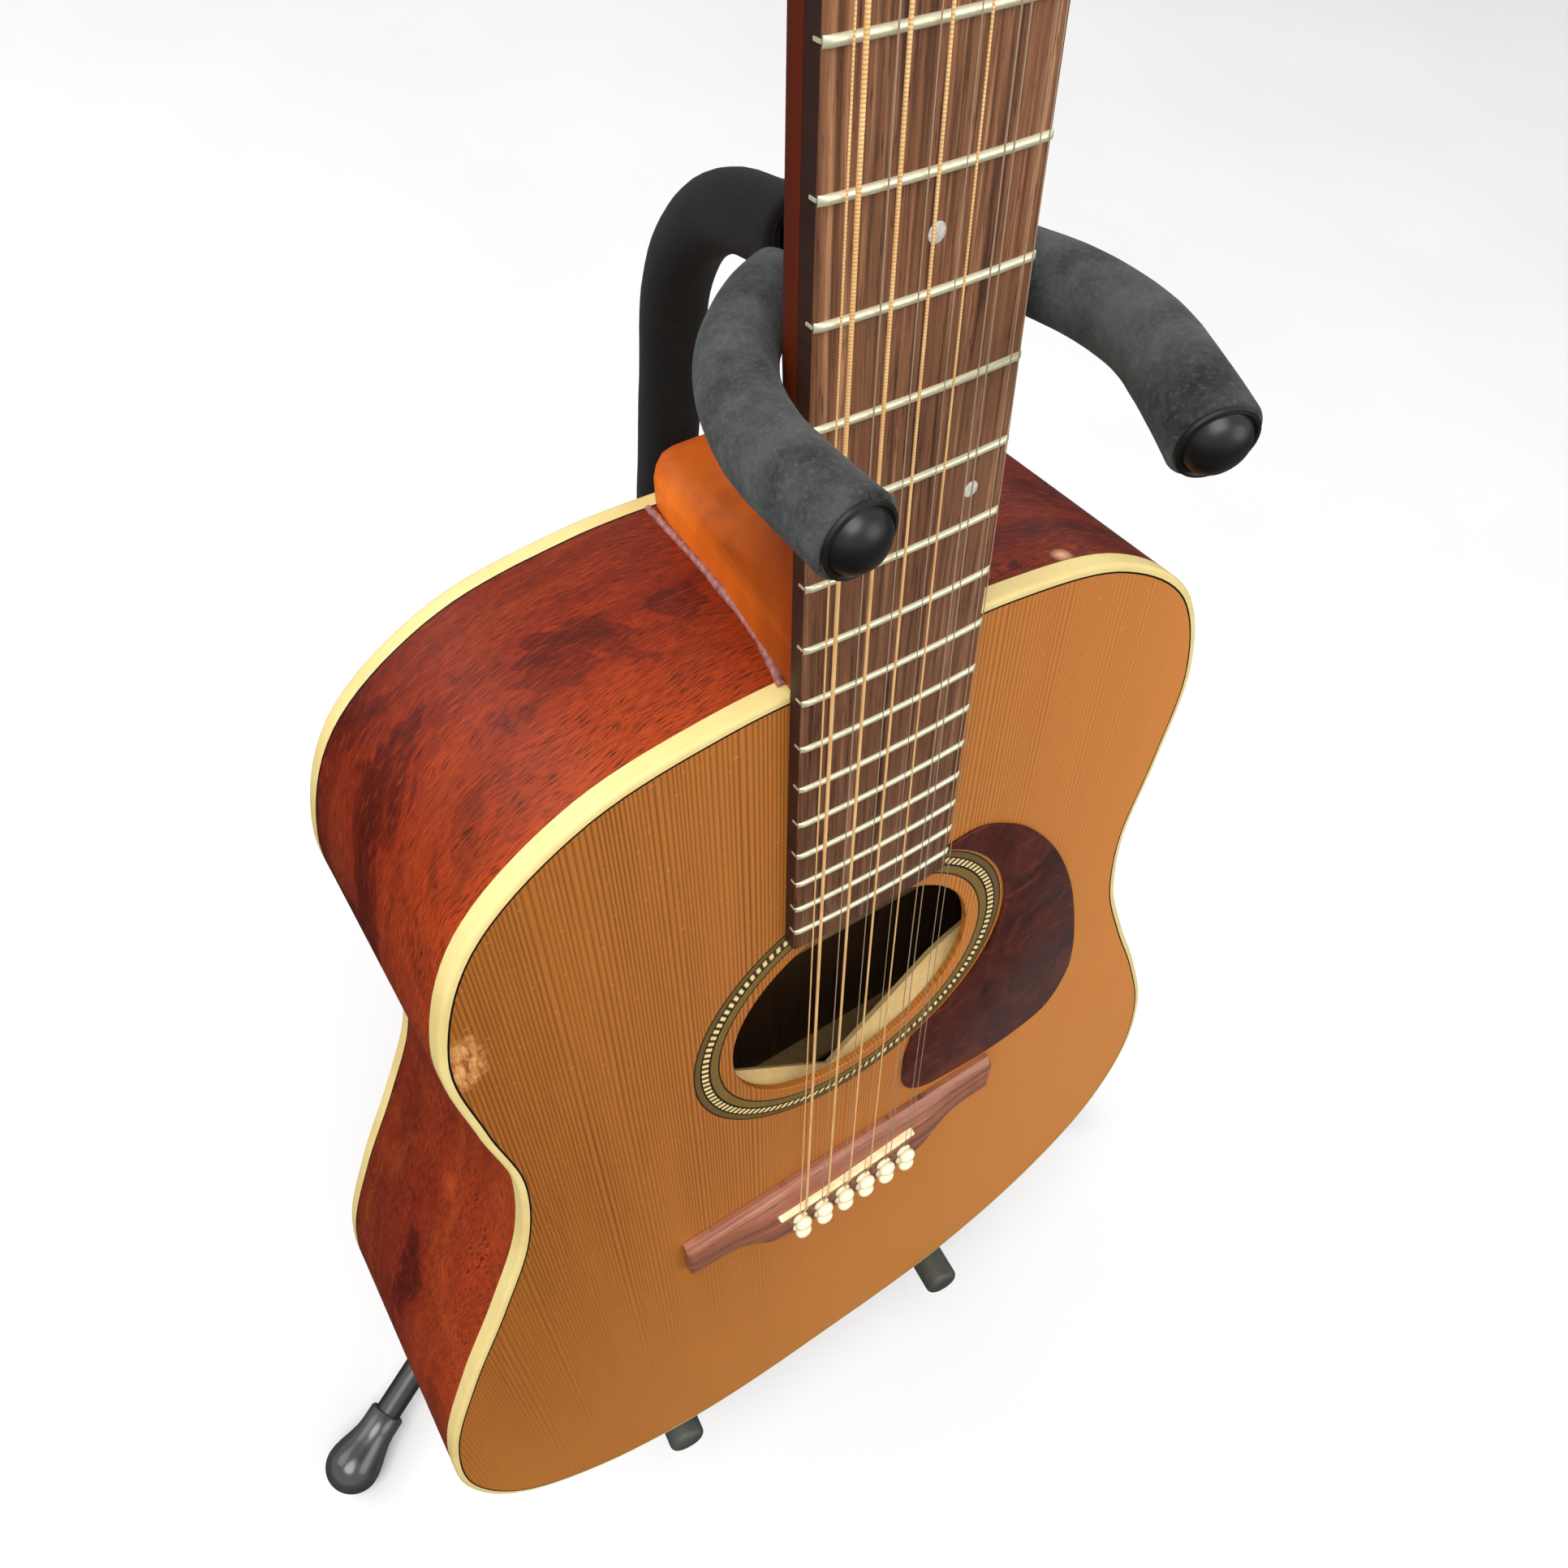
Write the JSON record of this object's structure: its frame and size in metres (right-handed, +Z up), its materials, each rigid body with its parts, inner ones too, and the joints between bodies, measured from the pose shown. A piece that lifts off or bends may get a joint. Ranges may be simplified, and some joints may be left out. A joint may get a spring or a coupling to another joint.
{
  "type": "guitar on stand",
  "caption": "Steel-string acoustic guitar leaning in a tubular tripod floor stand with a bent mast, padded neck yoke and padded body cradle.",
  "frame": {"origin": "on the floor, under the middle of the whole footprint", "axes": "+Z up; -Y towards the front, where the guitar's face looks; +X to the viewer's right when facing the guitar"},
  "size_m": [0.5628, 0.5844, 1.1783],
  "materials": {
    "cedar": "gloss",
    "cherry": "gloss",
    "maple_neck": "satin",
    "rosewood": "matte",
    "bridge_wood": "satin",
    "ivory_binding": "gloss",
    "bone": "satin",
    "tortoise": "gloss",
    "inlay": "satin",
    "foam": "matte",
    "gloss_black": "gloss",
    "rubber": "matte",
    "chrome": "polished",
    "black_steel": "satin"
  },
  "bodies": {
    "stand_base": {"base_tube": "black_steel", "leg_hub": "gloss_black", "clamp_collar": "gloss_black", "cradle_frame": "black_steel", "cradle_pad_left": "rubber", "cradle_pad_right": "rubber"},
    "guitar": {"soundboard": "cedar", "rosette": "inlay", "top_binding": "ivory_binding", "sides": "cherry", "back_binding": "ivory_binding", "back_plate": "cherry", "fingerboard": "rosewood", "neck": "maple_neck", "nut": "bone", "bridge": "bridge_wood", "saddle": "bone", "pickguard": "tortoise", "end_pin": "gloss_black", "tuner_plate_bass": "chrome", "tuner_plate_treble": "chrome"},
    "mast": {"mast_tube": "black_steel", "mast_sleeve": "foam"},
    "yoke": {"yoke_tube": "black_steel", "yoke_sleeve_left": "foam", "yoke_sleeve_right": "foam", "yoke_cap_left": "gloss_black", "yoke_cap_right": "gloss_black"},
    "knob": {"clamp_knob": "gloss_black"},
    "leg_left_arm": {"leg_left": "black_steel", "foot_left": "rubber"},
    "leg_right_arm": {"leg_right": "black_steel", "foot_right": "rubber"},
    "leg_rear_arm": {"leg_rear": "black_steel", "foot_rear": "rubber"},
    "key_bass_1": {"tuner_key_bass_1": "chrome"},
    "post_bass_1": {"tuner_post_bass_1": "chrome"},
    "key_bass_2": {"tuner_key_bass_2": "chrome"},
    "post_bass_2": {"tuner_post_bass_2": "chrome"},
    "key_bass_3": {"tuner_key_bass_3": "chrome"},
    "post_bass_3": {"tuner_post_bass_3": "chrome"},
    "key_bass_4": {"tuner_key_bass_4": "chrome"},
    "post_bass_4": {"tuner_post_bass_4": "chrome"},
    "key_bass_5": {"tuner_key_bass_5": "chrome"},
    "post_bass_5": {"tuner_post_bass_5": "chrome"},
    "key_bass_6": {"tuner_key_bass_6": "chrome"},
    "post_bass_6": {"tuner_post_bass_6": "chrome"},
    "key_treble_1": {"tuner_key_treble_1": "chrome"},
    "post_treble_1": {"tuner_post_treble_1": "chrome"},
    "key_treble_2": {"tuner_key_treble_2": "chrome"},
    "post_treble_2": {"tuner_post_treble_2": "chrome"},
    "key_treble_3": {"tuner_key_treble_3": "chrome"},
    "post_treble_3": {"tuner_post_treble_3": "chrome"},
    "key_treble_4": {"tuner_key_treble_4": "chrome"},
    "post_treble_4": {"tuner_post_treble_4": "chrome"},
    "key_treble_5": {"tuner_key_treble_5": "chrome"},
    "post_treble_5": {"tuner_post_treble_5": "chrome"},
    "key_treble_6": {"tuner_key_treble_6": "chrome"},
    "post_treble_6": {"tuner_post_treble_6": "chrome"}
  },
  "joints": [
    {"name": "guitar_lift", "type": "slide", "parent": "stand_base", "child": "guitar", "axis": [-0.0188, 0.2071, 0.9781], "range_m": [0, 0.015]},
    {"name": "mast_height", "type": "slide", "parent": "stand_base", "child": "mast", "axis": [0, 0, 1], "range_m": [-0.02, 0]},
    {"name": "yoke_swivel", "type": "hinge", "parent": "mast", "child": "yoke", "pos_m": [0.0038, -0.10199, 0.72646], "axis": [-0.0794, 0.2, 0.9766], "range_deg": [-2, 0]},
    {"name": "clamp_turn", "type": "hinge", "parent": "stand_base", "child": "knob", "pos_m": [0, -0.0276, 0.391], "axis": [0, 1, 0], "continuous": true},
    {"name": "leg_fold_left", "type": "hinge", "parent": "stand_base", "child": "leg_left_arm", "pos_m": [-0.0186, -0.04936, 0.062], "axis": [0.5344, -0.8453, 0], "range_deg": [0, 65]},
    {"name": "leg_fold_right", "type": "hinge", "parent": "stand_base", "child": "leg_right_arm", "pos_m": [0.0186, -0.04936, 0.062], "axis": [0.5344, 0.8453, 0], "range_deg": [0, 65]},
    {"name": "leg_fold_rear", "type": "hinge", "parent": "stand_base", "child": "leg_rear_arm", "pos_m": [0, -0.0156, 0.062], "axis": [-1, 0, 0], "range_deg": [0, 65]},
    {"name": "key_turn_bass_1", "type": "hinge", "parent": "guitar", "child": "key_bass_1", "pos_m": [-0.04406, -0.06296, 1.03002], "axis": [-0.9959, -0.0906, 0], "continuous": true},
    {"name": "post_turn_bass_1", "type": "hinge", "parent": "guitar", "child": "post_bass_1", "pos_m": [-0.03312, -0.08062, 1.03869], "axis": [0.0821, -0.9026, 0.4226], "continuous": true},
    {"name": "key_turn_bass_2", "type": "hinge", "parent": "guitar", "child": "key_bass_2", "pos_m": [-0.04506, -0.05201, 1.05358], "axis": [-0.9959, -0.0906, 0], "continuous": true},
    {"name": "post_turn_bass_2", "type": "hinge", "parent": "guitar", "child": "post_bass_2", "pos_m": [-0.03411, -0.06967, 1.06225], "axis": [0.0821, -0.9026, 0.4226], "continuous": true},
    {"name": "key_turn_bass_3", "type": "hinge", "parent": "guitar", "child": "key_bass_3", "pos_m": [-0.04605, -0.04107, 1.07715], "axis": [-0.9959, -0.0906, 0], "continuous": true},
    {"name": "post_turn_bass_3", "type": "hinge", "parent": "guitar", "child": "post_bass_3", "pos_m": [-0.03511, -0.05873, 1.08581], "axis": [0.0821, -0.9026, 0.4226], "continuous": true},
    {"name": "key_turn_bass_4", "type": "hinge", "parent": "guitar", "child": "key_bass_4", "pos_m": [-0.04705, -0.03013, 1.10071], "axis": [-0.9959, -0.0906, 0], "continuous": true},
    {"name": "post_turn_bass_4", "type": "hinge", "parent": "guitar", "child": "post_bass_4", "pos_m": [-0.03611, -0.04779, 1.10938], "axis": [0.0821, -0.9026, 0.4226], "continuous": true},
    {"name": "key_turn_bass_5", "type": "hinge", "parent": "guitar", "child": "key_bass_5", "pos_m": [-0.04805, -0.01919, 1.12428], "axis": [-0.9959, -0.0906, 0], "continuous": true},
    {"name": "post_turn_bass_5", "type": "hinge", "parent": "guitar", "child": "post_bass_5", "pos_m": [-0.0371, -0.03685, 1.13294], "axis": [0.0821, -0.9026, 0.4226], "continuous": true},
    {"name": "key_turn_bass_6", "type": "hinge", "parent": "guitar", "child": "key_bass_6", "pos_m": [-0.04904, -0.00824, 1.14784], "axis": [-0.9959, -0.0906, 0], "continuous": true},
    {"name": "post_turn_bass_6", "type": "hinge", "parent": "guitar", "child": "post_bass_6", "pos_m": [-0.0381, -0.0259, 1.1565], "axis": [0.0821, -0.9026, 0.4226], "continuous": true},
    {"name": "key_turn_treble_1", "type": "hinge", "parent": "guitar", "child": "key_treble_1", "pos_m": [0.01828, -0.05728, 1.03002], "axis": [0.9959, 0.0906, 0], "continuous": true},
    {"name": "post_turn_treble_1", "type": "hinge", "parent": "guitar", "child": "post_treble_1", "pos_m": [0.0107, -0.07663, 1.03869], "axis": [0.0821, -0.9026, 0.4226], "continuous": true},
    {"name": "key_turn_treble_2", "type": "hinge", "parent": "guitar", "child": "key_treble_2", "pos_m": [0.01728, -0.04634, 1.05358], "axis": [0.9959, 0.0906, 0], "continuous": true},
    {"name": "post_turn_treble_2", "type": "hinge", "parent": "guitar", "child": "post_treble_2", "pos_m": [0.00971, -0.06569, 1.06225], "axis": [0.0821, -0.9026, 0.4226], "continuous": true},
    {"name": "key_turn_treble_3", "type": "hinge", "parent": "guitar", "child": "key_treble_3", "pos_m": [0.01629, -0.0354, 1.07715], "axis": [0.9959, 0.0906, 0], "continuous": true},
    {"name": "post_turn_treble_3", "type": "hinge", "parent": "guitar", "child": "post_treble_3", "pos_m": [0.00871, -0.05474, 1.08581], "axis": [0.0821, -0.9026, 0.4226], "continuous": true},
    {"name": "key_turn_treble_4", "type": "hinge", "parent": "guitar", "child": "key_treble_4", "pos_m": [0.01529, -0.02445, 1.10071], "axis": [0.9959, 0.0906, 0], "continuous": true},
    {"name": "post_turn_treble_4", "type": "hinge", "parent": "guitar", "child": "post_treble_4", "pos_m": [0.00771, -0.0438, 1.10938], "axis": [0.0821, -0.9026, 0.4226], "continuous": true},
    {"name": "key_turn_treble_5", "type": "hinge", "parent": "guitar", "child": "key_treble_5", "pos_m": [0.0143, -0.01351, 1.12428], "axis": [0.9959, 0.0906, 0], "continuous": true},
    {"name": "post_turn_treble_5", "type": "hinge", "parent": "guitar", "child": "post_treble_5", "pos_m": [0.00672, -0.03286, 1.13294], "axis": [0.0821, -0.9026, 0.4226], "continuous": true},
    {"name": "key_turn_treble_6", "type": "hinge", "parent": "guitar", "child": "key_treble_6", "pos_m": [0.0133, -0.00257, 1.14784], "axis": [0.9959, 0.0906, 0], "continuous": true},
    {"name": "post_turn_treble_6", "type": "hinge", "parent": "guitar", "child": "post_treble_6", "pos_m": [0.00572, -0.02191, 1.1565], "axis": [0.0821, -0.9026, 0.4226], "continuous": true}
  ],
  "couplings": [
    {"joint": "post_turn_bass_1", "follows": "key_turn_bass_1", "ratio": -0.071429},
    {"joint": "post_turn_bass_2", "follows": "key_turn_bass_2", "ratio": -0.071429},
    {"joint": "post_turn_bass_3", "follows": "key_turn_bass_3", "ratio": -0.071429},
    {"joint": "post_turn_bass_4", "follows": "key_turn_bass_4", "ratio": -0.071429},
    {"joint": "post_turn_bass_5", "follows": "key_turn_bass_5", "ratio": -0.071429},
    {"joint": "post_turn_bass_6", "follows": "key_turn_bass_6", "ratio": -0.071429},
    {"joint": "post_turn_treble_1", "follows": "key_turn_treble_1", "ratio": 0.071429},
    {"joint": "post_turn_treble_2", "follows": "key_turn_treble_2", "ratio": 0.071429},
    {"joint": "post_turn_treble_3", "follows": "key_turn_treble_3", "ratio": 0.071429},
    {"joint": "post_turn_treble_4", "follows": "key_turn_treble_4", "ratio": 0.071429},
    {"joint": "post_turn_treble_5", "follows": "key_turn_treble_5", "ratio": 0.071429},
    {"joint": "post_turn_treble_6", "follows": "key_turn_treble_6", "ratio": 0.071429}
  ]
}
